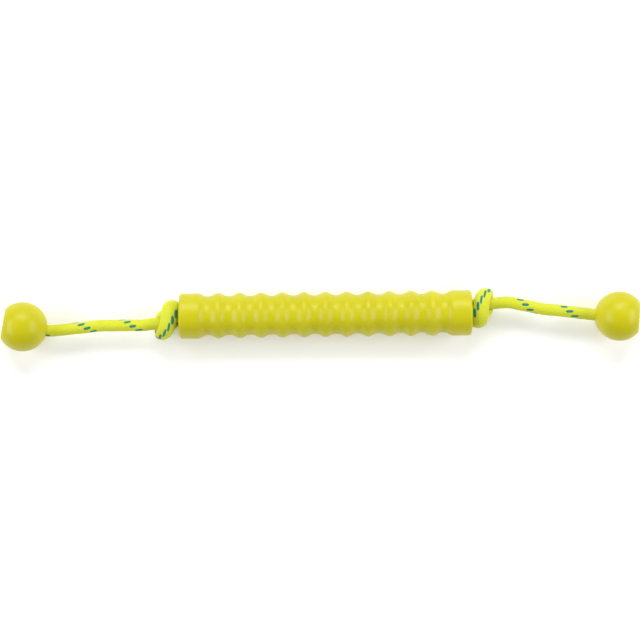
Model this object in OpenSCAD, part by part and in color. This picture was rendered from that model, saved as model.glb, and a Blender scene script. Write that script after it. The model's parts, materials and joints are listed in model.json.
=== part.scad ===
// Training bumper: a ribbed rubber grip on one rope, with an overhand knot against each end of the
// grip and a rubber ball on each end of the rope. It lies on z = 0 with the grip along X, and the
// origin is on that surface, straight below the middle of the grip.

/* [Grip] */
// Length of the sleeve between its end faces
grip_length = 233; // [222:1:260]
// Diameter over the ribs and the end collars
grip_diameter = 36; // [35:0.5:40]
// Number of ribs between the two collars
rib_count = 11; // [5:2:11]
// Distance from one rib's crest to the next
rib_pitch = 17.1; // [14:0.1:17.4]
// Depth of the valleys between the ribs
valley_depth = 2.6; // [1:0.1:3]
// Radius of the rounded corner at each end
corner_radius = 2; // [1:0.25:3]
// Thickness of the rubber wall at each end of the foam core
end_wall = 12; // [8:1:14]

/* [Core] */
// Diameter of the foam core inside the sleeve
core_diameter = 25; // [18:0.5:26]
// Diameter of the bore that the rope runs through
bore_diameter = 11.5; // [11:0.25:14]

/* [Rope] */
// Diameter of the braided rope
rope_diameter = 9.5; // [8:0.25:9.75]
// Diameter of the rope where a knot squeezes it
knot_strand = 7.5; // [6:0.25:7.5]

/* [Balls] */
// Diameter of each ball
ball_diameter = 39.5; // [39:0.5:44]
// Distance from a ball's centre to its flat outer face
flat_offset = 15.7; // [15:0.1:16]
// Diameter of the recess in the flat face
recess_diameter = 19; // [18.5:0.25:20]
// Depth of the recess in the flat face
recess_depth = 7; // [6.5:0.25:8]

/* [Rope ends] */
// Diameter of the washer that the ball bears on
washer_diameter = 17; // [15:0.5:17.5]
// Thickness of the washer
washer_thickness = 2; // [1.5:0.25:2.5]
// Diameter of the melted rope end behind the washer
button_diameter = 13.5; // [12:0.5:14]
// Thickness of the melted rope end
button_height = 3; // [2:0.25:3.5]

/* [Hidden] */
$fn = 96;
grip_radius = grip_diameter / 2;
rope_radius = rope_diameter / 2;
ball_radius = ball_diameter / 2;
rope_sides = 12;
// Points of the sleeve's outline along each rib
samples_per_pitch = 12;
// Above 1 the crests are narrower than the valleys
crest_sharpness = 1.35;
// Share of a rib's pitch in which the last valley rises to the collar
collar_rise = 0.45;
core_clearance = 0.1;
washer_clearance = 0.1;
// Gap between pieces that turn on each other
running_gap = 0.3;
// Gap at a bend between one stretch of rope and the next
bend_gap = 1;
// How far past a cut face the cutting shape runs
overcut = 1;
rubber_colour = [0.80, 0.78, 0.10];
rope_colour = [0.86, 0.90, 0.18];
foam_colour = [0.92, 0.92, 0.88];
washer_colour = [0.15, 0.40, 0.38];

// Each end of the bumper has its own frame: x runs outwards from the grip's end face, z = 0 is the
// height of the grip's axis, and the left end is the right end turned half round the vertical.

// Two overhand knots, each from the bore, behind and down, then across the front, and out. The way
// out is the way in turned half round the line through the knot's middle along z.
left_knot_middle = [10.5, 3];
left_knot_way_in = [
    [0, 0, 0], [4, 0, 0], [8, -0.5, -1.5], [12, -1, -5], [15.5, 1.5, -8], [16.5, 7, -9.5],
    [16, 13, -6.3]
];
left_knot_front = [
    [14, 15, 0], [11.8, 13, 6], [9.4, 8, 9], [8.3, 3, 9.5], [7.7, -2, 9], [7, -7, 6], [6.3, -9, 0]
];
right_knot_middle = [9, 3.6];
right_knot_way_in = [
    [0, 0, 0], [4, 0, 0], [7.8, -0.2, -1.2], [11, -0.5, -4.4], [13.6, 1.8, -7.8],
    [14.3, 7.4, -9.6], [13.8, 13.3, -6.3]
];
right_knot_front = [
    [11.9, 15.6, 0], [9.7, 13.3, 6], [7.9, 8, 9], [7.1, 3, 9.5], [6.7, -2, 9], [6.2, -6.5, 6],
    [5.7, -8.3, 0]
];

// Where the rope bends: at the knot it swings sideways, and near the ball it flexes up and down.
left_swing = [30, 7, -1];
left_flex = [87, 9.2, -2.5];
right_swing = [30, 8, -1];
right_flex = [82, -0.5, -2.5];

// The rope's route from the knot to the first bend's far side, and on to the ball.
left_inner_route = [left_swing, [40, 7, -2], [52, 7, -2], [64, 7, -2], [74, 8, -2.5]];
left_outer_route = [left_flex, [96, 10, -2.5]];
right_inner_route = [right_swing, [40, 6, -2], [50, 4, -2], [60, 2, -2], [70, 1, -2.5]];
right_outer_route = [right_flex, [90, -1.5, -2.5]];

// Ball centres, the turn of each ball's bore about the vertical, and how far both bores rise outwards
left_ball_centre = [125.6, 7, ball_radius - grip_radius];
left_ball_turn = -10;
right_ball_centre = [118.4, -4, ball_radius - grip_radius];
right_ball_turn = -4;
ball_rise = 10;

// The outermost valley and the start of the collar, counted from the middle of the grip
last_valley = rib_count / 2 * rib_pitch;
collar_start = last_valley + collar_rise * rib_pitch;

// Places along a ball's bore, counted from its centre outwards
recess_floor = flat_offset - recess_depth;
washer_start = recess_floor + running_gap;
button_start = washer_start + washer_thickness;

// Vectors
function unit(v) = v / norm(v);
function along(v, axis) = v - (v * axis) * axis;
function bore_direction(turn) =
    [cos(ball_rise) * cos(turn), cos(ball_rise) * sin(turn), sin(ball_rise)];

// The unit vectors across a route, carried from ring to ring without twist
function side_vectors(tangents, i = 0, last = [0, 0, 1]) =
    i == len(tangents)
        ? []
        : let(side = unit(along(last, tangents[i])))
          concat([side], side_vectors(tangents, i + 1, side));

// A closed tube of round section along a route, with one radius per point of the route
module tube(route, radii) {
    n = len(route);
    tangents = [for (i = [0:n - 1]) unit(route[min(i + 1, n - 1)] - route[max(i - 1, 0)])];
    sides = side_vectors(tangents);
    rings = [
        for (i = [0:n - 1])
            for (k = [0:rope_sides - 1])
                let(a = 360 * k / rope_sides)
                route[i] + radii[i] * (cos(a) * sides[i] + sin(a) * cross(tangents[i], sides[i]))
    ];
    walls = [
        for (i = [0:n - 2])
            for (k = [0:rope_sides - 1])
                let(a = i * rope_sides + k, b = i * rope_sides + (k + 1) % rope_sides)
                each [[a, b + rope_sides, b], [a, a + rope_sides, b + rope_sides]]
    ];
    near_end = [for (k = [0:rope_sides - 1]) k];
    far_end = [for (k = [rope_sides - 1:-1:0]) (n - 1) * rope_sides + k];
    polyhedron(points = rings, faces = concat([near_end], walls, [far_end]));
}

// A stretch of rope that starts with a dome round its bend, so that it clears the stretch before it
module bending_rope(route) {
    back = unit(route[0] - route[1]);
    steps = [75, 45, 20];
    dome = [for (a = steps) route[0] + rope_radius * sin(a) * back];
    radii = concat([for (a = steps) rope_radius * cos(a)], [for (p = route) rope_radius]);
    tube(concat(dome, route), radii);
}

// A route's end, drawn back so that the next stretch's dome clears it
function short_of(from, bend) = bend + (rope_radius + bend_gap) * unit(from - bend);

module left_end() {
    translate([-grip_length / 2, 0, grip_radius]) rotate([0, 0, 180]) children();
}

module right_end() {
    translate([grip_length / 2, 0, grip_radius]) children();
}

// A ball's own frame: its bore runs along +X, out through the flat face
module at_ball(centre, turn) {
    translate(centre) rotate([0, -ball_rise, turn]) children();
}

// Turns a shape made along +Z so that it runs along +X
module lying() {
    rotate([0, 90, 0]) children();
}

// 1 on a crest, where the phase is a whole number, and 0 in a valley, half way between
function swell(phase) = pow(pow(cos(180 * phase), 2), crest_sharpness);
function radius_at_phase(phase) = grip_radius - valley_depth * (1 - swell(phase));

// The sleeve's outside radius at x, counted from the middle of the grip
function ribs_at(x) = radius_at_phase((x - last_valley) / rib_pitch + 0.5);
function collar_at(x) = radius_at_phase((collar_start - x) / (collar_start - last_valley) / 2);

module sleeve_section() {
    rib_steps = rib_count * samples_per_pitch;
    shoulder_steps = samples_per_pitch / 2;
    half = grip_length / 2;
    middle = [
        for (i = [0:rib_steps])
            let(x = -last_valley + 2 * last_valley * i / rib_steps)
            [ribs_at(x), x]
    ];
    shoulder = [
        for (i = [1:shoulder_steps])
            let(x = last_valley + (collar_start - last_valley) * i / shoulder_steps)
            [collar_at(x), x]
    ];
    corner = [
        for (a = [0:15:90])
            [grip_radius - corner_radius * (1 - cos(a)), half - corner_radius * (1 - sin(a))]
    ];
    outer_end = concat(shoulder, corner);
    count = len(outer_end);
    mirrored_end = [for (i = [1:count]) [outer_end[count - i][0], -outer_end[count - i][1]]];
    polygon(concat([[0, -half]], mirrored_end, middle, outer_end, [[0, half]]));
}

module ribbed_sleeve() {
    color(rubber_colour) translate([0, 0, grip_radius]) lying() difference() {
        rotate_extrude() sleeve_section();
        cylinder(h = grip_length + 2 * overcut, d = bore_diameter, center = true);
        cylinder(h = grip_length - 2 * end_wall, d = core_diameter, center = true);
    }
}

module foam_core() {
    length = grip_length - 2 * (end_wall + core_clearance);
    color(foam_colour) translate([0, 0, grip_radius]) lying() difference() {
        cylinder(h = length, d = core_diameter - 2 * core_clearance, center = true);
        cylinder(h = length + 2 * overcut, d = bore_diameter, center = true);
    }
}

module rope_through_grip() {
    color(rope_colour) translate([0, 0, grip_radius]) lying()
        cylinder(h = grip_length, d = rope_diameter, center = true);
}

module grip_knot(way_in, front, middle, swing) {
    far = [2 * middle[0], 2 * middle[1], 0];
    count = len(way_in);
    way_out = [
        for (i = [1:count])
            let(p = way_in[count - i])
            [far[0] - p[0], far[1] - p[1], p[2]]
    ];
    route = concat(way_in, front, way_out);
    tail = short_of(far, swing);
    radii = [for (p = route) knot_strand / 2];
    color(rope_colour) tube(concat(route, [tail]), concat(radii, [rope_radius]));
}

module left_grip_knot() {
    left_end() grip_knot(left_knot_way_in, left_knot_front, left_knot_middle, left_swing);
}

module right_grip_knot() {
    right_end() grip_knot(right_knot_way_in, right_knot_front, right_knot_middle, right_swing);
}

module inner_rope(route, flex) {
    last = route[len(route) - 1];
    color(rope_colour) bending_rope(concat(route, [short_of(last, flex)]));
}

module left_inner_rope() {
    left_end() inner_rope(left_inner_route, left_flex);
}

module right_inner_rope() {
    right_end() inner_rope(right_inner_route, right_flex);
}

// The rope runs straight from just outside the ball to its melted end
module outer_rope(route, centre, turn) {
    axis = bore_direction(turn);
    in_ball = [for (d = [-ball_radius - overcut, 0, button_start]) centre + d * axis];
    color(rope_colour) bending_rope(concat(route, in_ball));
}

module left_outer_rope() {
    left_end() outer_rope(left_outer_route, left_ball_centre, left_ball_turn);
}

module right_outer_rope() {
    right_end() outer_rope(right_outer_route, right_ball_centre, right_ball_turn);
}

module end_washer() {
    color(washer_colour) translate([washer_start, 0, 0]) lying() difference() {
        cylinder(h = washer_thickness, d = washer_diameter);
        translate([0, 0, -overcut])
            cylinder(h = washer_thickness + 2 * overcut, d = rope_diameter + washer_clearance);
    }
}

module left_end_washer() {
    left_end() at_ball(left_ball_centre, left_ball_turn) end_washer();
}

module right_end_washer() {
    right_end() at_ball(right_ball_centre, right_ball_turn) end_washer();
}

module rope_button() {
    edge = button_height / 2;
    color(rope_colour) translate([button_start, 0, 0]) lying() rotate_extrude() hull() {
        square([1, button_height]);
        translate([button_diameter / 2 - edge, edge]) circle(r = edge, $fn = 32);
    }
}

module left_rope_button() {
    left_end() at_ball(left_ball_centre, left_ball_turn) rope_button();
}

module right_rope_button() {
    right_end() at_ball(right_ball_centre, right_ball_turn) rope_button();
}

module ball() {
    color(rubber_colour) lying() difference() {
        sphere(r = ball_radius);
        translate([0, 0, flat_offset]) cylinder(h = ball_radius, r = ball_radius);
        cylinder(h = 3 * ball_radius, d = rope_diameter + 2 * running_gap, center = true);
        translate([0, 0, recess_floor]) cylinder(h = ball_radius, d = recess_diameter);
    }
}

module left_ball() {
    left_end() at_ball(left_ball_centre, left_ball_turn) ball();
}

module right_ball() {
    right_end() at_ball(right_ball_centre, right_ball_turn) ball();
}

ribbed_sleeve();
foam_core();
rope_through_grip();
left_grip_knot();
right_grip_knot();
left_inner_rope();
left_outer_rope();
left_end_washer();
left_rope_button();
left_ball();
right_inner_rope();
right_outer_rope();
right_end_washer();
right_rope_button();
right_ball();
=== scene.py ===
"""The looks of a training bumper: a ribbed rubber grip and two rubber balls on one braided rope.

Everything is in metres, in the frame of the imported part: the bumper lies on z = 0 with its grip along X.
"""

import json
import math

import bpy
import numpy as np
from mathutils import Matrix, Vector
from mathutils.kdtree import KDTree


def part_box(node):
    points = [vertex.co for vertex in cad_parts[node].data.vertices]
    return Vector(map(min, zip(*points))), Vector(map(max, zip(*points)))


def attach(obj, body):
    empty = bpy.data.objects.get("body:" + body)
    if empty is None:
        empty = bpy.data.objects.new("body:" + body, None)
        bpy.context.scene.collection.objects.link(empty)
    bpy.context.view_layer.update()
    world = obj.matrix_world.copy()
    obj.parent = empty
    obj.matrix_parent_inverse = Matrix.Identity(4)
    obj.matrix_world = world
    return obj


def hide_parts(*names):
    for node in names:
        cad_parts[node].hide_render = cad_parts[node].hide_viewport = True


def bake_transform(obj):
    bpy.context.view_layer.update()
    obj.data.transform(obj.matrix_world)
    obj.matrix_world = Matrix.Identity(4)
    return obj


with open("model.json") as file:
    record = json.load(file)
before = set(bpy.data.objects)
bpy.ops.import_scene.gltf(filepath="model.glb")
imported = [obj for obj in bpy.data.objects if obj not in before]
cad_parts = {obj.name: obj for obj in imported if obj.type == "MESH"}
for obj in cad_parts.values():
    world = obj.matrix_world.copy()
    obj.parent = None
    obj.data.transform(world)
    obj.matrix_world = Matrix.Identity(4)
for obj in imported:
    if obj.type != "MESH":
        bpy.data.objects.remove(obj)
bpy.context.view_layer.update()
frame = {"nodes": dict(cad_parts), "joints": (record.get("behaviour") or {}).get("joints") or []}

SIDES = ("left", "right")
UP = np.array([0.0, 0.0, 1.0])

# ---------------------------------------------------------------- sizes, from the frame

joints = {j["name"]: j for j in frame["joints"]}
_, sleeve_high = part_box("ribbed_sleeve")
grip_half = sleeve_high.x
grip_radius = sleeve_high.z / 2
ball_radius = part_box("left_ball")[1].z / 2

ROPE_DIAMETER = 0.0095
BORE_RADIUS = 0.00575
RIB_COUNT = 11
RIB_PITCH = 0.0171
VALLEY_DEPTH = 0.0026
CREST_SHARPNESS = 1.35
COLLAR_RISE = 0.45
END_WALL = 0.012
CORE_RADIUS = 0.0125
FLAT_OFFSET = 0.0157
RECESS_RADIUS = 0.0095
RECESS_FLOOR = 0.0087
WASHER_START = 0.009
WASHER_THICKNESS = 0.002
WASHER_RADIUS = 0.0085
BUTTON_START = 0.011
BUTTON_HEIGHT = 0.003
BUTTON_RADIUS = 0.00675

ROPE_RADIUS = ROPE_DIAMETER / 2
BALL_BORE_RADIUS = ROPE_RADIUS + 0.0003
WASHER_HOLE_RADIUS = ROPE_RADIUS + 0.00005
# The least length that a vector is divided by.
TINY = 1e-6

# ---------------------------------------------------------------- camera

VIEW_CENTRE = (-0.0044, -0.0044)
VIEW_WIDTH = 0.512
HALF_ANGLE = math.radians(11)
ROLL = math.radians(-0.66)


def add_camera():
    """Looks straight down on the bumper, so that it fills the picture from side to side."""
    data = bpy.data.cameras.new("camera")
    data.lens = data.sensor_width / 2 / math.tan(HALF_ANGLE)
    camera = bpy.data.objects.new("camera", data)
    height = grip_radius + VIEW_WIDTH / 2 / math.tan(HALF_ANGLE)
    camera.location = (*VIEW_CENTRE, height)
    camera.rotation_euler = (0, 0, ROLL)
    bpy.context.scene.collection.objects.link(camera)
    bpy.context.scene.camera = camera


add_camera()

# ---------------------------------------------------------------- materials


class Nodes:
    """A material's nodes, made and linked in a few words."""

    def __init__(self, name):
        self.material = bpy.data.materials.new(name)
        self.material.use_nodes = True
        self.tree = self.material.node_tree
        self.shader = self.tree.nodes["Principled BSDF"]

    def add(self, kind, **values):
        node = self.tree.nodes.new("ShaderNode" + kind)
        for key, value in values.items():
            if hasattr(node, key):
                setattr(node, key, value)
            else:
                node.inputs[key.replace("_", " ")].default_value = value
        return node

    def link(self, source, target):
        self.tree.links.new(source, target)

    def set(self, **values):
        for key, value in values.items():
            self.shader.inputs[key.replace("_", " ")].default_value = value

    def place(self):
        return self.add("TexCoord").outputs["Object"]

    def noise(self, scale, detail=3.0, roughness=0.5, place=None):
        node = self.add("TexNoise", Scale=scale, Detail=detail, Roughness=roughness)
        self.link(place or self.place(), node.inputs["Vector"])
        return node.outputs["Fac"]

    def attribute(self, name):
        return self.add("Attribute", attribute_name=name).outputs["Fac"]

    def spread(self, source, low, high, from_low=0.3, from_high=0.7):
        """source, with from_low to from_high spread over low to high."""
        node = self.add("MapRange")
        for key, value in zip(
            ("From Min", "From Max", "To Min", "To Max"), (from_low, from_high, low, high)
        ):
            node.inputs[key].default_value = value
        self.link(source, node.inputs["Value"])
        return node.outputs["Result"]

    def mix(self, factor, first, second):
        """A colour between first and second, each a colour or a socket."""
        node = self.add("Mix", data_type="RGBA")
        colours = [s for s in node.inputs if s.type == "RGBA"]
        for socket, value in zip(colours, (first, second)):
            if isinstance(value, tuple):
                socket.default_value = (*value, 1)
            else:
                self.link(value, socket)
        self.link(factor, node.inputs["Factor"])
        return next(s for s in node.outputs if s.type == "RGBA")

    def bump(self, height, strength, distance, below=None):
        node = self.add("Bump", Strength=strength, Distance=distance)
        self.link(height, node.inputs["Height"])
        if below is not None:
            self.link(below, node.inputs["Normal"])
        return node.outputs["Normal"]

    def finish(self, colour, roughness, normal):
        self.link(colour, self.shader.inputs["Base Color"])
        self.link(roughness, self.shader.inputs["Roughness"])
        self.link(normal, self.shader.inputs["Normal"])
        return self.material


def rubber_material():
    """Moulded rubber: satin, with cloudy colour, a fine grain, and crests rubbed a little paler."""
    m = Nodes("rubber")
    clouds = m.noise(38, detail=4)
    specks = m.noise(900, detail=2)
    colour = m.mix(
        m.spread(clouds, 0, 1), (0.535, 0.494, 0.002), (0.580, 0.538, 0.003)
    )
    colour = m.mix(m.spread(specks, 0, 0.35, 0.6, 0.8), colour, (0.500, 0.465, 0.008))
    colour = m.mix(m.attribute("rubbed"), colour, (0.720, 0.690, 0.060))
    grain = m.bump(m.noise(2600, detail=2), 0.25, 0.00006)
    ripple = m.bump(m.noise(120, detail=3), 0.35, 0.00025, below=grain)
    m.set(Specular_IOR_Level=0.34)
    return m.finish(colour, m.spread(m.noise(160), 0.34, 0.40), ripple)


def rope_material():
    """Braided rope: bright filaments in rounded stitches, with painted shade darkening the gaps between them,
    and a teal tracer.
    """
    m = Nodes("rope")
    uv = m.add("UVMap", uv_map="lay").outputs["UV"]
    stretch = m.add("Mapping")
    stretch.inputs["Scale"].default_value = (900, 7000, 1)
    m.link(uv, stretch.inputs["Vector"])
    filaments = m.noise(1, detail=3, place=stretch.outputs["Vector"])
    fuzz = m.noise(3500, detail=2)
    yellow = m.mix(
        m.spread(filaments, 0, 1), (0.560, 0.600, 0.012), (0.700, 0.720, 0.030)
    )
    teal = m.mix(m.spread(filaments, 0, 1), (0.001, 0.130, 0.095), (0.008, 0.300, 0.200))
    colour = m.mix(m.attribute("tracer"), yellow, teal)
    # Painted shade: where the braid's surface sinks between stitches, the colour is darkened towards a deep
    # olive.
    colour = m.mix(m.attribute("gap"), colour, (0.170, 0.230, 0.004))
    lines = m.bump(filaments, 0.55, 0.00012)
    m.set(
        Specular_IOR_Level=0.35,
        Sheen_Weight=0.25,
        Sheen_Roughness=0.5,
        Sheen_Tint=(0.9, 1.0, 0.4, 1),
    )
    return m.finish(
        colour, m.spread(filaments, 0.55, 0.75), m.bump(fuzz, 0.2, 0.00008, below=lines)
    )


def melted_material():
    """The rope's melted end: the same plastic, run together into a glossy lump."""
    m = Nodes("melted")
    swirl = m.noise(420, detail=4)
    colour = m.mix(
        m.spread(swirl, 0, 1), (0.560, 0.600, 0.015), (0.720, 0.740, 0.040)
    )
    colour = m.mix(
        m.spread(m.noise(230, detail=2), 0, 0.8, 0.6, 0.72), colour, (0.010, 0.200, 0.150)
    )
    return m.finish(
        colour, m.spread(swirl, 0.2, 0.45), m.bump(m.noise(700, detail=3), 0.4, 0.0002)
    )


def washer_material():
    """Dark nylon with faint turning marks."""
    m = Nodes("washer")
    scuffs = m.noise(500, detail=5)
    colour = m.mix(
        m.spread(scuffs, 0, 1), (0.012, 0.080, 0.070), (0.030, 0.150, 0.130)
    )
    return m.finish(
        colour, m.spread(scuffs, 0.35, 0.55), m.bump(m.noise(1500), 0.25, 0.00008)
    )


def foam_material():
    """Closed-cell foam: off-white, with fine cells."""
    m = Nodes("foam")
    cells = m.add("TexVoronoi", Scale=900.0)
    m.link(m.place(), cells.inputs["Vector"])
    depth = cells.outputs["Distance"]
    colour = m.mix(
        m.spread(depth, 0, 1, 0, 0.7), (0.820, 0.810, 0.740), (0.600, 0.590, 0.520)
    )
    return m.finish(colour, m.spread(depth, 0.8, 0.95, 0, 0.7), m.bump(depth, 0.5, 0.0003))


def floor_material():
    """A matt pale floor, which glows a little more far from the lamps, so that it stays as pale there."""
    m = Nodes("floor")
    from_middle = m.add("VectorMath", operation="LENGTH")
    m.link(m.place(), from_middle.inputs[0])
    glow = m.spread(from_middle.outputs["Value"], 0.12, 0.75, 1.5, 5.0)
    m.link(glow, m.shader.inputs["Emission Strength"])
    mottle = m.noise(6, detail=2)
    colour = m.mix(m.spread(mottle, 0, 1), (0.930, 0.930, 0.930), (0.950, 0.950, 0.950))
    m.set(Emission_Color=(1, 1, 1, 1))
    return m.finish(colour, m.spread(mottle, 0.85, 0.9), m.bump(m.noise(300), 0.02, 0.0001))


RUBBER = rubber_material()
ROPE = rope_material()
MELTED = melted_material()
WASHER = washer_material()
FOAM = foam_material()
FLOOR = floor_material()

# ---------------------------------------------------------------- meshes


def add_piece(name, points, faces, material, attributes=None, uv=None, caps=0):
    """A smooth-shaded mesh, with sharp edges round its last faces, the caps.

    attributes holds one value per point, and uv one pair per face corner.
    """
    mesh = bpy.data.meshes.new(name)
    mesh.from_pydata(np.asarray(points).tolist(), [], [list(map(int, face)) for face in faces])
    mesh.polygons.foreach_set("use_smooth", [True] * len(mesh.polygons))
    for cap in mesh.polygons[len(mesh.polygons) - caps :]:
        for corner in cap.loop_indices:
            mesh.edges[mesh.loops[corner].edge_index].use_edge_sharp = True
    for key, values in (attributes or {}).items():
        layer = mesh.attributes.new(key, "FLOAT", "POINT")
        layer.data.foreach_set("value", np.asarray(values, np.float32))
    if uv is not None:
        layer = mesh.uv_layers.new(name="lay")
        layer.data.foreach_set("uv", np.asarray(uv, np.float32).ravel())
    mesh.materials.append(material)
    piece = bpy.data.objects.new(name, mesh)
    bpy.context.scene.collection.objects.link(piece)
    return piece


def wall_faces(rings, around, closed_rings=False):
    """The quads between each ring of points and the next."""
    steps = np.arange(rings if closed_rings else rings - 1)[:, None]
    k = np.arange(around)[None, :]
    here, there = steps * around, (steps + 1) % rings * around
    after = (k + 1) % around
    quads = np.stack([here + k, here + after, there + after, there + k], axis=-1)
    return quads.reshape(-1, 4)


def arc(centre, radius, start, end, steps):
    """Points (x, r) round a centre, from one angle to another, in degrees."""
    angles = np.radians(np.linspace(start, end, steps + 1))
    x, r = centre
    return [(x + radius * math.cos(a), r + radius * math.sin(a)) for a in angles]


def straight(start, end, steps):
    """Points (x, r) along a straight line, without its last point."""
    return [
        tuple(np.array(start) + (np.array(end) - start) * i / steps) for i in range(steps)
    ]


def lathe(profile, angles, centre, axis):
    """Points of a closed outline of (x, r) turned about an axis through centre, and their quads."""
    along = np.array(axis, float) / np.linalg.norm(axis)
    side = np.cross(UP, along)
    side /= np.linalg.norm(side)
    top = np.cross(along, side)
    x, r = np.array(profile).T
    ring = np.cos(angles)[:, None] * side + np.sin(angles)[:, None] * top
    points = centre + x[:, None, None] * along + r[:, None, None] * ring
    faces = wall_faces(len(profile), len(angles), closed_rings=True)
    return points.reshape(-1, 3), faces


def even_angles(count):
    return np.arange(count) * 2 * math.pi / count


# ---------------------------------------------------------------- rope route

# The same points as the part's source, in each end's own frame: x outwards from the grip's end face.
KNOT_WAY_IN = {
    "left": [
        (0, 0, 0),
        (0.004, 0, 0),
        (0.008, -0.0005, -0.0015),
        (0.012, -0.001, -0.005),
        (0.0155, 0.0015, -0.008),
        (0.0165, 0.007, -0.0095),
        (0.016, 0.013, -0.0063),
    ],
    "right": [
        (0, 0, 0),
        (0.004, 0, 0),
        (0.0078, -0.0002, -0.0012),
        (0.011, -0.0005, -0.0044),
        (0.0136, 0.0018, -0.0078),
        (0.0143, 0.0074, -0.0096),
        (0.0138, 0.0133, -0.0063),
    ],
}
KNOT_FRONT = {
    "left": [
        (0.014, 0.015, 0),
        (0.0118, 0.013, 0.006),
        (0.0094, 0.008, 0.009),
        (0.0083, 0.003, 0.0095),
        (0.0077, -0.002, 0.009),
        (0.007, -0.007, 0.006),
        (0.0063, -0.009, 0),
    ],
    "right": [
        (0.0119, 0.0156, 0),
        (0.0097, 0.0133, 0.006),
        (0.0079, 0.008, 0.009),
        (0.0071, 0.003, 0.0095),
        (0.0067, -0.002, 0.009),
        (0.0062, -0.0065, 0.006),
        (0.0057, -0.0083, 0),
    ],
}
KNOT_MIDDLE = {"left": (0.0105, 0.003), "right": (0.009, 0.0036)}
SWING_PLACES = {"left": (0.030, 0.007, -0.001), "right": (0.030, 0.008, -0.001)}
FREE_ROUTES = {
    "left": [
        (0.040, 0.007, -0.002),
        (0.052, 0.007, -0.002),
        (0.064, 0.007, -0.002),
        (0.074, 0.008, -0.0025),
        (0.087, 0.0092, -0.0025),
        (0.096, 0.010, -0.0025),
    ],
    "right": [
        (0.040, 0.006, -0.002),
        (0.050, 0.004, -0.002),
        (0.060, 0.002, -0.002),
        (0.070, 0.001, -0.0025),
        (0.082, -0.0005, -0.0025),
        (0.090, -0.0015, -0.0025),
    ],
}


def in_row(side, point):
    """A point of one end's own frame, in the row frame."""
    x, y, z = point
    sign = 1 if side == "right" else -1
    return np.array([sign * (grip_half + x), sign * y, grip_radius + z])


def knot_points(side):
    middle_x, middle_y = KNOT_MIDDLE[side]
    way_in = KNOT_WAY_IN[side]
    way_out = [(2 * middle_x - x, 2 * middle_y - y, z) for x, y, z in way_in[::-1]]
    return way_in + KNOT_FRONT[side] + way_out


def ball_frame(side):
    """A ball's centre, and the direction of its bore outwards."""
    joint = joints[f"{side}_ball_spin"]
    return np.array(joint["pos_m"]), np.array(joint["axis"]) / np.linalg.norm(joint["axis"])


# How far before the ball's surface the rope takes up the bore's direction.
BEFORE_MOUTH = 0.001


def end_route(side):
    """The rope's points from the grip's end face to the rope's own end, in the row frame.

    One more point, between the ball's mouth and its centre, keeps the curve straight in the bore.
    """
    centre, axis = ball_frame(side)
    points = [*knot_points(side), SWING_PLACES[side], *FREE_ROUTES[side]]
    places = (-ball_radius - BEFORE_MOUTH, -ball_radius / 2, 0, BUTTON_START)
    in_ball = [centre + d * axis for d in places]
    return [in_row(side, p) for p in points] + in_ball


ROUTE_STEP = 0.00025
LEAST_STEPS = 8


def smooth_line(points):
    """A centripetal Catmull-Rom curve through the points.

    Returns its evenly spaced points, their places along it, and the places of the points given.
    """
    p = np.array([2 * points[0] - points[1], *points, 2 * points[-1] - points[-2]])
    line, starts = [], [0]
    for a, b, c, d in zip(p, p[1:], p[2:], p[3:]):
        t = np.cumsum([0, *(np.linalg.norm(v) ** 0.5 for v in (b - a, c - b, d - c))])
        count = max(LEAST_STEPS, math.ceil(np.linalg.norm(c - b) / ROUTE_STEP * 2))
        for u in np.linspace(t[1], t[2], count, endpoint=False):
            q1 = a + (b - a) * (u - t[0]) / (t[1] - t[0])
            q2 = b + (c - b) * (u - t[1]) / (t[2] - t[1])
            q3 = c + (d - c) * (u - t[2]) / (t[3] - t[2])
            r1 = q1 + (q2 - q1) * (u - t[0]) / (t[2] - t[0])
            r2 = q2 + (q3 - q2) * (u - t[1]) / (t[3] - t[1])
            line.append(r1 + (r2 - r1) * (u - t[1]) / (t[2] - t[1]))
        starts.append(len(line))
    line = np.array([*line, points[-1]])
    run = np.concatenate([[0], np.cumsum(np.linalg.norm(np.diff(line, axis=0), axis=1))])
    even = np.arange(0, run[-1], ROUTE_STEP)
    spaced = np.stack([np.interp(even, run, line[:, k]) for k in range(3)], axis=1)
    return spaced, even, run[starts]


def carried_sides(line):
    """Tangents, and a vector across the line carried along it without twist."""
    tangents = np.gradient(line, axis=0)
    tangents /= np.linalg.norm(tangents, axis=1)[:, None]
    sides = np.empty_like(line)
    side = UP
    for i, t in enumerate(tangents):
        side = side - side @ t * t
        side = side / np.linalg.norm(side)
        sides[i] = side
    return tangents, sides


left_points, right_points = end_route("left"), end_route("right")
route = left_points[::-1] + right_points
LINE, PLACE, STOPS = smooth_line(route)
TANGENT, SIDE = carried_sides(LINE)
ACROSS = np.cross(TANGENT, SIDE)


def stop(side, number):
    """The place along the rope of one end's route point, counted from the grip's end face."""
    if side == "left":
        return STOPS[len(left_points) - 1 - number]
    return STOPS[len(left_points) + number]


KNOT_COUNT = len(knot_points("left"))
FRONT_START = len(KNOT_WAY_IN["left"])
FRONT_END = FRONT_START + len(KNOT_FRONT["left"]) - 1

# ---------------------------------------------------------------- rope surface

COLUMNS = 16
STITCH_LENGTH = 0.00633
STITCH_SLANT = math.radians(9)
STITCH_RELIEF = 0.00042
STITCH_VARIETY = 0.12

# How far each column of stitches is ahead of the one before it, in stitches, how many columns apart the
# tracer's are, and how many stitches a stitch reaches from its middle.
FREE_LAY = {"column_step": 0.375, "tracer_every": 2, "reach": 0.66}
KNOT_LAY = {"column_step": 0.75, "tracer_every": 1, "reach": 0.8}

# Half-widths are in columns and half-lengths in stitches. Squareness is along and across.
STITCH_HALF_WIDTH = 0.72
STITCH_SQUARENESS = (2.6, 2.2)
MARK_HALF_LENGTH = 0.48
MARK_HALF_WIDTH = 0.64
MARK_SQUARENESS = (3, 2.5)

# How fast the painted shade of a gap fades as the surface rises out of it.
GAP_SHADE_FADE = 1.6

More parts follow.
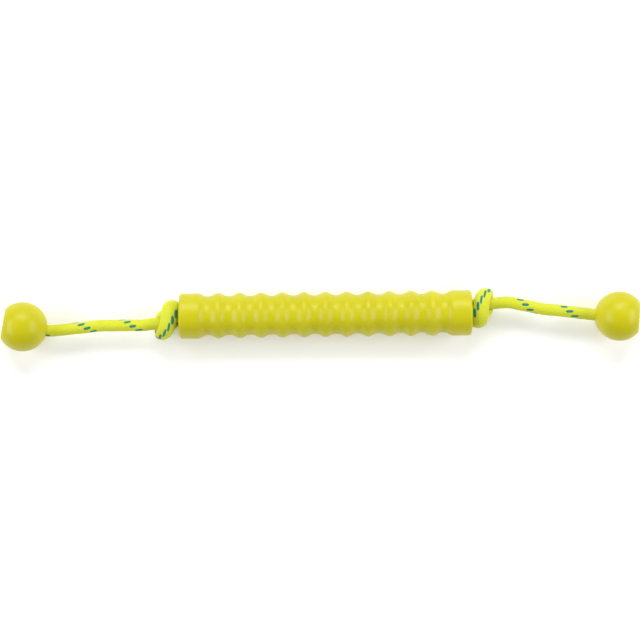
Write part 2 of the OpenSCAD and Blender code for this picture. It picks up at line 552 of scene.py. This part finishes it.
# Where a tracer mark shows, and how many degrees it leans from the side that faces up, clockwise when
# looking towards +x. Each place is an x in the row frame, or a place along a knot's front strand, as the
# number of its route point.
TRACER_ON_ROPE = ((-0.1904, 11), (-0.1538, 9), (0.1598, -9), (0.1950, -3))
TRACER_ON_KNOT = {"left": (9.1, -27), "right": (9.7, 42)}
TRACER_SPACING = 0.75 * STITCH_LENGTH


def place_at_x(x):
    """The place along the rope where a free stretch passes x."""
    slack = 0.004
    inside = np.abs(LINE[:, 0]) > abs(x) - slack
    inside &= np.sign(LINE[:, 0]) == np.sign(x)
    i = np.flatnonzero(inside)[np.abs(LINE[inside, 0] - x).argmin()]
    return PLACE[i]


def place_on_knot(side, number):
    low = stop(side, int(number))
    high = stop(side, int(number) + 1)
    return low + (high - low) * (number % 1)


def angle_of_up(place):
    """The angle of the side that faces up, in the carried frame at a place."""
    i = min(np.searchsorted(PLACE, place), len(PLACE) - 1)
    return math.atan2(UP @ ACROSS[i], UP @ SIDE[i])


def turn_for_mark(place, lean, kind):
    """The braid's length at a mark near a place, and the turn that brings the mark to its lean from up."""
    lay = TRACER_SPACING * round(place / TRACER_SPACING)
    pitch = COLUMNS * kind["column_step"] * STITCH_LENGTH
    return lay, angle_of_up(place) + math.radians(lean) - 2 * math.pi * lay / pitch


def uneven_lay():
    """The braid's own length and turn at each place, so that its marks show where they should."""
    marks = [(place_at_x(x), lean, False) for x, lean in TRACER_ON_ROPE]
    marks += [(place_on_knot(side, TRACER_ON_KNOT[side][0]), 0, True) for side in SIDES]
    places, shifts, turning_places, turns = [], [], [], []
    for place, lean, in_knot in sorted(marks):
        lay, turn = turn_for_mark(place, lean, FREE_LAY)
        places.append(place)
        shifts.append(lay - place)
        if in_knot:
            continue
        if turns:
            turn += 2 * math.pi * round((turns[-1] - turn) / (2 * math.pi))
        turning_places.append(place)
        turns.append(turn)
    return PLACE + np.interp(PLACE, places, shifts), np.interp(PLACE, turning_places, turns)


LAY, TWIST = uneven_lay()


def chance(*numbers):
    """A repeatable random number from 0 to 1 for each set of whole numbers."""
    mixed = sum(n * k for n, k in zip(numbers, (127.1, 311.7, 74.7)))
    return np.modf(np.abs(np.sin(mixed) * 43758.5453))[0]


def stitches(lay, angle, kind):
    """The height of the braid's surface, from 0 to 1, and whether the tracer shows, at points of the rope."""
    rows_a_turn = round(COLUMNS * kind["column_step"])
    column = angle / (2 * math.pi) * COLUMNS
    width = 2 * math.pi * ROPE_RADIUS / COLUMNS
    best = np.zeros_like(lay)
    tracer = np.zeros(lay.shape, bool)
    for dk in (-1, 0, 1):
        k = np.round(column) + dk
        row = lay / STITCH_LENGTH - kind["column_step"] * k
        for dj in (-1, 0, 1):
            j = np.round(row) + dj
            turn = np.floor(k / COLUMNS)
            identity = (k - COLUMNS * turn, j + rows_a_turn * turn)
            fat = 1 + STITCH_VARIETY * (chance(*identity) - 0.5)
            along = (row - j) * STITCH_LENGTH
            across = (column - k) * width
            u = along * math.cos(STITCH_SLANT) - across * math.sin(STITCH_SLANT)
            v = along * math.sin(STITCH_SLANT) + across * math.cos(STITCH_SLANT)
            inside = 1 - (np.abs(u) / (kind["reach"] * STITCH_LENGTH)) ** STITCH_SQUARENESS[0]
            inside = inside - (np.abs(v) / (STITCH_HALF_WIDTH * width)) ** STITCH_SQUARENESS[1]
            height = np.sqrt(np.clip(inside, 0, 1)) * fat
            best = np.maximum(best, height)
            mark = (np.abs(u) / (MARK_HALF_LENGTH * STITCH_LENGTH)) ** MARK_SQUARENESS[0]
            mark = mark + (np.abs(v) / (MARK_HALF_WIDTH * width)) ** MARK_SQUARENESS[1]
            is_tracer = (k % kind["tracer_every"] == 0) & (identity[1] % rows_a_turn == 0)
            tracer |= is_tracer & (mark < 1)
    return best, tracer


def knot_axis(side):
    """A point and a direction of the line that a knot's strands wind round."""
    middle_x, middle_y = KNOT_MIDDLE[side]
    start = in_row(side, (0, middle_y, 0))
    end = in_row(side, (2 * middle_x, middle_y, 0))
    return start, (end - start) / np.linalg.norm(end - start)


KNOT_WIDE = 0.0064
KNOT_FLAT = 0.0037
SQUEEZE_RAMP = 0.011


def squeezed(side, places):
    """How much a knot flattens its front strand at each place, 0 to 1, and in which direction."""
    index = np.clip(np.searchsorted(PLACE, places), 0, len(PLACE) - 1)
    first, last = sorted((stop(side, FRONT_START - 1), stop(side, FRONT_END + 1)))
    from_ends = np.minimum(PLACE[index] - first, last - PLACE[index])
    amount = np.clip(from_ends / SQUEEZE_RAMP, 0, 1)
    amount = amount * amount * (3 - 2 * amount)
    start, axis = knot_axis(side)
    away = LINE[index] - start
    away -= (away @ axis)[:, None] * axis
    away -= (away * TANGENT[index]).sum(1)[:, None] * TANGENT[index]
    size = np.linalg.norm(away, axis=1)[:, None]
    return amount, away / np.maximum(size, TINY)


# Of the rope's line, one point in so many is tested, and only if it is this much further along the rope.
LINE_SPACING = 4
OTHER_TURN = 1.3 * ROPE_DIAMETER


def pressed_apart(points, centres, places, gap=0.0001):
    """Points of a strand that cross into another turn of it, moved back to the plane half way between."""
    others = np.arange(0, len(LINE), LINE_SPACING)
    tree = KDTree(len(others))
    for n, i in enumerate(others):
        tree.insert(LINE[i], n)
    tree.balance()
    moved = points.copy()
    for ring, (centre, place) in enumerate(zip(centres, places)):
        near = [
            others[n]
            for _, n, _ in tree.find_range(centre, 2 * ROPE_DIAMETER)
            if abs(PLACE[others[n]] - place) > OTHER_TURN
        ]
        if not near:
            continue
        other = LINE[near]
        middle = (other + centre) / 2
        away = other - centre
        away /= np.linalg.norm(away, axis=1)[:, None]
        for _ in range(2):
            past = np.einsum("rik,ik->ri", moved[ring][:, None] - middle, away) + gap
            worst = past.argmax(1)
            depth = np.clip(past[np.arange(len(worst)), worst], 0, None)
            moved[ring] -= depth[:, None] * away[worst]
    return moved


def off_the_grip(points, centres, gap=0.0003, well_clear=0.002):
    """Points moved out of the grip's end face, for the rings whose centres are well clear of it."""
    limit = grip_half + gap
    clear = (np.abs(centres[:, 0]) > limit + well_clear)[:, None]
    x = points[..., 0]
    points[..., 0] = np.where(clear & (np.abs(x) < limit), np.sign(x) * limit, x)
    return points


def oval_radius(out, amount, flat):
    """A squeezed strand's radius in each direction out from its middle."""
    wide = ROPE_RADIUS + (KNOT_WIDE - ROPE_RADIUS) * amount[:, None]
    thin = ROPE_RADIUS + (KNOT_FLAT - ROPE_RADIUS) * amount[:, None]
    facing = np.einsum("rik,rk->ri", out, flat) ** 2
    return 1 / np.sqrt(facing / thin**2 + (1 - facing) / wide**2)


def rope_stitches(places, angles, knot, amount):
    """The braid's height and tracer round each ring, changing to the knot's own lay where it is squeezed."""
    lay = np.repeat(np.interp(places, PLACE, LAY)[:, None], angles.shape[1], axis=1)
    twist = np.interp(places, PLACE, TWIST)[:, None]
    height, tracer = stitches(lay, angles - twist, FREE_LAY)
    if knot is None:
        return height, tracer
    number, lean = TRACER_ON_KNOT[knot]
    _, turn = turn_for_mark(place_on_knot(knot, number), lean, KNOT_LAY)
    knot_height, knot_tracer = stitches(lay, angles - turn, KNOT_LAY)
    # The knot's lay takes over between a third and two thirds of the full squeeze.
    wrung = np.clip(3 * amount - 1, 0, 1)[:, None]
    return (
        height * (1 - wrung) + knot_height * wrung,
        np.where(wrung > 0.5, knot_tracer, tracer),
    )


def rope_uv(places, around):
    """Each wall corner's place along the rope and round it, and zeros for the two caps."""
    ring, corner = np.divmod(wall_faces(len(places), around), around)
    wraps = (corner == 0) & (corner[:, :1] == around - 1)
    round_rope = (corner + around * wraps) / around * 2 * math.pi * ROPE_RADIUS
    walls = np.stack([places[ring], round_rope], axis=-1).reshape(-1, 2)
    return np.concatenate([walls, np.zeros((2 * around, 2))])


def rope_piece(name, start, end, around=128, step=0.00045, knot=None):
    """A stretch of the braided rope between two places along it, and the centres of its rings."""
    first, last = sorted((start, end))
    rings = max(2, round((last - first) / step) + 1)
    places = np.linspace(first, last, rings)

    def at(values):
        return np.stack([np.interp(places, PLACE, values[:, k]) for k in range(3)], 1)

    centres, side, across = at(LINE), at(SIDE), at(ACROSS)
    angles = np.repeat(even_angles(around)[None, :], rings, axis=0)
    out = np.cos(angles)[..., None] * side[:, None] + np.sin(angles)[..., None] * across[:, None]
    amount, flat = squeezed(knot, places) if knot else (None, None)
    height, tracer = rope_stitches(places, angles, knot, amount)
    if knot:
        points = centres[:, None] + oval_radius(out, amount, flat)[..., None] * out
        points = off_the_grip(pressed_apart(points, centres, places), centres)
    else:
        points = centres[:, None] + ROPE_RADIUS * out
    points = points - (STITCH_RELIEF * (1 - height))[..., None] * out
    caps = [list(range(around))[::-1], [(rings - 1) * around + k for k in range(around)]]
    # Painted shade: gap is 1 deep between stitches, where the darker colour is painted, and 0 on their tops.
    gap = np.clip(1 - height * GAP_SHADE_FADE, 0, 1)
    piece = add_piece(
        name,
        points.reshape(-1, 3),
        wall_faces(rings, around).tolist() + caps,
        ROPE,
        attributes={"tracer": tracer.ravel(), "gap": gap.ravel()},
        uv=rope_uv(places, around),
        caps=2,
    )
    return piece, centres


# ---------------------------------------------------------------- the rope's pieces

SPLIT_X = {"left": 0.070, "right": 0.066}
KNOT_INNER_STOP = {"left": KNOT_COUNT - 3, "right": KNOT_COUNT - 4}


def add_rope_end(side):
    """One end's knot, and its two free stretches, which bend at the knot and near the ball."""
    knot_end = stop(side, KNOT_INNER_STOP[side])
    split = place_at_x(in_row(side, (SPLIT_X[side], 0, 0))[0])
    rope_end = stop(side, len(left_points) - 1)

    knot, _ = rope_piece(f"{side}_knot_braid", stop(side, 0), knot_end, knot=side)
    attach(knot, "rope_run")
    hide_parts(f"{side}_grip_knot")

    inner, inner_line = rope_piece(f"{side}_inner_braid", knot_end, split, knot=side)
    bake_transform(inner)
    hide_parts(f"{side}_inner_rope")

    outer, outer_line = rope_piece(f"{side}_outer_braid", split, rope_end)
    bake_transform(outer)
    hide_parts(f"{side}_outer_rope")


def add_rope_in_grip():
    piece, _ = rope_piece(
        "rope_in_grip_braid", stop("left", 0), stop("right", 0), around=64, step=0.001
    )
    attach(piece, "rope_run")
    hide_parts("rope_through_grip")


# ---------------------------------------------------------------- washers and melted ends

END_STEPS = 96
DISH_DEPTH = 0.0006
PINHOLE_RADIUS = 0.0004
RIM_WAVE = 0.00018


def add_washer(side):
    centre, axis = ball_frame(side)
    edge = 0.0004
    x0, x1 = WASHER_START, WASHER_START + WASHER_THICKNESS
    r0, r1 = WASHER_HOLE_RADIUS, WASHER_RADIUS
    profile = (
        arc((x0 + edge, r1 - edge), edge, 180, 90, 4)
        + arc((x1 - edge, r1 - edge), edge, 90, 0, 4)
        + arc((x1 - edge, r0 + edge), edge, 0, -90, 4)
        + arc((x0 + edge, r0 + edge), edge, -90, -180, 4)
    )
    points, faces = lathe(profile, even_angles(END_STEPS), centre, axis)
    washer = add_piece(f"{side}_washer_ring", points, faces, WASHER)
    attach(washer, f"{side}_rope_end")
    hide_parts(f"{side}_end_washer")
    return washer


def add_melted_end(side):
    """A lump with a rounded, uneven rim, dished in the middle where the filaments ran together."""
    centre, axis = ball_frame(side)
    edge = BUTTON_HEIGHT / 2
    rim = (BUTTON_START + edge, BUTTON_RADIUS - edge)
    back = [(BUTTON_START, r) for r in np.linspace(PINHOLE_RADIUS, rim[1], 6)[:-1]]
    front = [
        (BUTTON_START + BUTTON_HEIGHT - DISH_DEPTH * math.cos(math.pi * t / 2) ** 2, r)
        for t, r in zip(np.linspace(1, 0, 12)[1:], np.linspace(rim[1], PINHOLE_RADIUS, 12)[1:])
    ]
    profile = back + arc(rim, edge, 180, 90, 8) + arc(rim, edge, 90, 0, 8)[1:] + front
    angles = even_angles(END_STEPS)
    points, faces = lathe(profile, angles, centre, axis)
    grid = points.reshape(len(profile), END_STEPS, 3)
    waves = np.sin(3 * angles + 1) + 0.6 * np.sin(7 * angles) + 0.5 * np.sin(11 * angles + 2)
    shift = RIM_WAVE * waves
    away = grid - grid.mean(1, keepdims=True)
    size = np.linalg.norm(away, axis=2, keepdims=True)
    grid = grid + away / np.maximum(size, TINY) * shift[None, :, None] * size / BUTTON_RADIUS
    button = add_piece(f"{side}_melted_end", grid.reshape(-1, 3), faces, MELTED)
    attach(button, f"{side}_rope_end")
    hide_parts(f"{side}_rope_button")
    return button


end_pieces = {side: [add_washer(side), add_melted_end(side)] for side in SIDES}
for end in SIDES:
    add_rope_end(end)
add_rope_in_grip()

# ---------------------------------------------------------------- grip


SLEEVE_STEPS = 176
PARTING_ANGLES = np.radians([0.3, 0.6, 0.9, 1.3])
PARTING_SPREAD = 0.012
PARTING_HEIGHT = 0.00012
RUBBED_DEPTH = 0.0006
RUBBED_AMOUNT = 0.06


def swell(phase):
    """1 on a crest, where the phase is a whole number, and 0 in a valley, half way between."""
    return abs(math.cos(math.pi * phase)) ** (2 * CREST_SHARPNESS)


def sleeve_outline():
    """The sleeve's closed section: its ribbed outside, its rounded ends, its bore and its cavity."""
    last_valley = RIB_COUNT / 2 * RIB_PITCH
    collar_start = last_valley + COLLAR_RISE * RIB_PITCH
    corner, lip, samples = 0.002, 0.001, 24

    def radius_at(phase):
        return grip_radius - VALLEY_DEPTH * (1 - swell(phase))

    ribs = [
        (x, radius_at((x - last_valley) / RIB_PITCH + 0.5))
        for x in np.linspace(-last_valley, last_valley, RIB_COUNT * samples + 1)
    ]
    rise = [
        (x, radius_at((collar_start - x) / (collar_start - last_valley) / 2))
        for x in np.linspace(last_valley, collar_start, samples // 2 + 1)[1:]
    ]
    collar = straight((collar_start, grip_radius), (grip_half - corner, grip_radius), 10)[1:]
    right = (
        rise
        + collar
        + arc((grip_half - corner, grip_radius - corner), corner, 90, 0, 8)
        + straight((grip_half, grip_radius - corner), (grip_half, BORE_RADIUS + lip), 6)[1:]
        + arc((grip_half - lip, BORE_RADIUS + lip), lip, 0, -90, 6)
        + straight((grip_half - lip, BORE_RADIUS), (grip_half - END_WALL, BORE_RADIUS), 5)[1:]
        + [(grip_half - END_WALL, BORE_RADIUS), (grip_half - END_WALL, CORE_RADIUS)]
    )
    left = [(-x, r) for x, r in right[::-1]]
    return left + ribs + right


def sleeve_angles():
    """Even steps round the sleeve, and finer ones beside its two parting lines."""
    beside = np.concatenate([[0], PARTING_ANGLES, -PARTING_ANGLES])
    seams = np.concatenate([beside, math.pi + beside]) % (2 * math.pi)
    return np.unique(np.round(np.concatenate([even_angles(SLEEVE_STEPS), seams]), 6))


def add_sleeve():
    """The grip's moulded skin, with a faint parting line on each side and crests that are rubbed paler."""
    angles = sleeve_angles()
    profile = sleeve_outline()
    centre = np.array([0, 0, grip_radius])
    points, faces = lathe(profile, angles, centre, (1, 0, 0))
    grid = points.reshape(len(profile), len(angles), 3)
    r = np.array(profile)[:, 1]
    slack = 0.0005
    outside = (r > CORE_RADIUS + slack)[:, None]
    ridge = np.exp(-((np.sin(angles) / PARTING_SPREAD) ** 2))[None, :] * PARTING_HEIGHT * outside
    out = grid - centre
    out[..., 0] = 0
    out /= np.maximum(np.linalg.norm(out, axis=2, keepdims=True), TINY)
    grid = grid + ridge[..., None] * out
    crest = np.clip((r - (grip_radius - RUBBED_DEPTH)) / RUBBED_DEPTH, 0, 1)
    rubbed = np.repeat(RUBBED_AMOUNT * crest[:, None], len(angles), axis=1)
    sleeve = add_piece(
        "grip_skin", grid.reshape(-1, 3), faces, RUBBER, attributes={"rubbed": rubbed.ravel()}
    )
    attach(sleeve, "grip")
    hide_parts("ribbed_sleeve")


add_sleeve()

# ---------------------------------------------------------------- balls


BALL_STEPS = 160
SEAM_SPREAD = 0.00035
SEAM_HEIGHT = 0.00012


def ball_outline():
    """The ball's closed section: sphere, rounded flat face, recess, bore and its rounded mouth."""
    bore = BALL_BORE_RADIUS
    shoulder, lip, mouth = 0.0015, 0.0006, 0.0008
    centre_r = math.sqrt((ball_radius - shoulder) ** 2 - (FLAT_OFFSET - shoulder) ** 2)
    turn = math.degrees(math.atan2(centre_r, FLAT_OFFSET - shoulder))
    mouth_x = -math.sqrt((ball_radius - mouth) ** 2 - (bore + mouth) ** 2)
    mouth_turn = math.degrees(math.atan2(bore + mouth, mouth_x))
    sphere = arc((0, 0), ball_radius, turn, mouth_turn, 64)
    return (
        arc((FLAT_OFFSET - shoulder, centre_r), shoulder, 0, turn, 6)[:-1]
        + sphere
        + arc((mouth_x, bore + mouth), mouth, mouth_turn, 270, 6)[1:]
        + straight((mouth_x, bore), (RECESS_FLOOR, bore), 12)[1:]
        + straight((RECESS_FLOOR, bore), (RECESS_FLOOR, RECESS_RADIUS), 5)
        + straight((RECESS_FLOOR, RECESS_RADIUS), (FLAT_OFFSET - lip, RECESS_RADIUS), 6)
        + arc((FLAT_OFFSET - lip, RECESS_RADIUS + lip), lip, 270, 360, 5)
    )


def add_ball(side):
    """A ball's moulded skin, with a faint parting line round its middle and a flat that is rubbed paler."""
    centre, axis = ball_frame(side)
    profile = ball_outline()
    points, faces = lathe(profile, even_angles(BALL_STEPS), centre, axis)
    from_centre = points - centre
    far = np.linalg.norm(from_centre, axis=1)
    slack = 0.0002
    on_sphere = far > ball_radius - slack
    along = from_centre @ axis
    seam = np.exp(-((along / SEAM_SPREAD) ** 2)) * SEAM_HEIGHT * on_sphere
    points = points + seam[:, None] * from_centre / np.maximum(far, TINY)[:, None]
    # Rubbed from nothing at nine tenths of the way to the flat, to a fifth on the flat itself.
    near_flat = np.clip(np.array(profile)[:, 0] / FLAT_OFFSET - 0.9, 0, 0.1)
    rubbed = np.repeat(near_flat, BALL_STEPS) * 2
    ball = add_piece(
        f"{side}_ball_skin", points, faces, RUBBER, attributes={"rubbed": rubbed}
    )
    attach(ball, f"{side}_ball")
    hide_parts(f"{side}_ball")


for end in SIDES:
    add_ball(end)

# ---------------------------------------------------------------- the foam core stays as CAD made it

core = frame["nodes"]["foam_core"]
core.data.materials.clear()
core.data.materials.append(FOAM)

# ---------------------------------------------------------------- floor and light


FLOOR_HALF = 12.0
FLOOR_HEIGHT = -0.0002
MIDDLE = Vector((0, 0, 0))


def add_floor():
    corners = [(-1, -1), (1, -1), (1, 1), (-1, 1)]
    points = [(x * FLOOR_HALF, y * FLOOR_HALF, FLOOR_HEIGHT) for x, y in corners]
    floor = add_piece("floor", points, [[0, 1, 2, 3]], FLOOR)


def add_softbox(name, place, size, watts):
    """A rectangular lamp that faces the middle of the bumper."""
    data = bpy.data.lights.new(name, "AREA")
    data.shape = "RECTANGLE"
    data.size, data.size_y = size
    data.energy = watts
    lamp = bpy.data.objects.new(name, data)
    lamp.location = place
    lamp.rotation_euler = (MIDDLE - Vector(place)).to_track_quat("-Z", "Y").to_euler()
    bpy.context.scene.collection.objects.link(lamp)


def add_light():
    add_softbox("key", place=(0, 2.2, 2.0), size=(2.4, 1.4), watts=57)
    for name, x in (("left_fill", -2.2), ("right_fill", 2.2)):
        add_softbox(name, place=(x, -0.05, 1.45), size=(2.4, 0.9), watts=40)
    world = bpy.data.worlds.new("studio")
    world.use_nodes = True
    background = world.node_tree.nodes["Background"]
    background.inputs["Color"].default_value = (1, 1, 1, 1)
    background.inputs["Strength"].default_value = 0.27
    bpy.context.scene.world = world
    bpy.context.scene.view_settings.view_transform = "Standard"


add_floor()
add_light()
